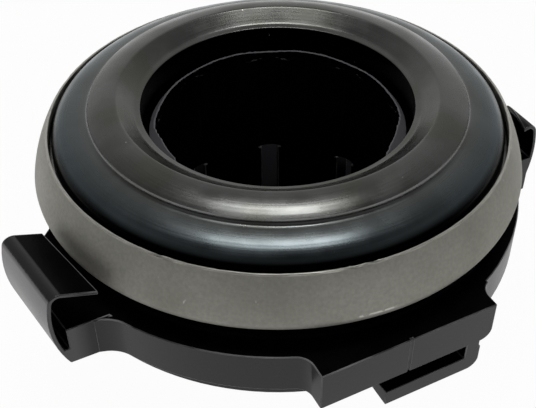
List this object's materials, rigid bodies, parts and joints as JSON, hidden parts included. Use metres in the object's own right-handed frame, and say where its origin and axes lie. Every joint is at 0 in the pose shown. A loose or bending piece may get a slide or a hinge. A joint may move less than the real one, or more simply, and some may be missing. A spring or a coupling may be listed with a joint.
{
  "type": "clutch release bearing",
  "caption": "Self-centring clutch release bearing: domed thrust ring turning in a pressed steel casing on a hooked moulded carrier sleeve.",
  "frame": {"origin": "on the guide bore's axis, at the foot of the sleeve", "axes": "+Z along the guide tube towards the clutch, -Y towards the flat fork pad, -X towards the long hook"},
  "size_m": [0.0733, 0.068, 0.0316],
  "materials": {
    "carrier_nylon": "moulded glass-filled nylon",
    "casing_steel": "satin pressed steel",
    "black_oxide_steel": "black oxide, oiled",
    "race_steel": "ground",
    "ball_steel": "polished",
    "cage_nylon": "natural nylon",
    "seal_rubber": "moulded rubber",
    "spring_steel": "hardened strip"
  },
  "bodies": {
    "carrier": {"carrier": "carrier_nylon", "retaining_washer": "spring_steel"},
    "spring": {"wave_spring": "spring_steel"},
    "bearing": {"casing": "casing_steel", "outer_race": "race_steel", "grease_seal": "seal_rubber", "dust_seal": "seal_rubber"},
    "cage": {"ball_cage": "cage_nylon", "ball_01": "ball_steel", "ball_02": "ball_steel", "ball_03": "ball_steel", "ball_04": "ball_steel", "ball_05": "ball_steel", "ball_06": "ball_steel", "ball_07": "ball_steel", "ball_08": "ball_steel", "ball_09": "ball_steel", "ball_10": "ball_steel", "ball_11": "ball_steel", "ball_12": "ball_steel", "ball_13": "ball_steel", "ball_14": "ball_steel", "ball_15": "ball_steel", "ball_16": "ball_steel"},
    "thrust": {"thrust_ring": "black_oxide_steel"}
  },
  "joints": [
    {"name": "float_across", "type": "slide", "parent": "carrier", "child": "spring", "axis": [1, 0, 0], "range_m": [-0.00045, 0.00045]},
    {"name": "float_along", "type": "slide", "parent": "spring", "child": "bearing", "axis": [0, 1, 0], "range_m": [-0.00045, 0.00045]},
    {"name": "ring_spin", "type": "hinge", "parent": "bearing", "child": "thrust", "pos_m": [0, 0, 0.0244], "axis": [0, 0, 1], "continuous": true},
    {"name": "cage_spin", "type": "hinge", "parent": "bearing", "child": "cage", "pos_m": [0, 0, 0.0244], "axis": [0, 0, 1], "continuous": true}
  ],
  "couplings": [
    {"joint": "cage_spin", "follows": "ring_spin", "ratio": 0.458}
  ]
}
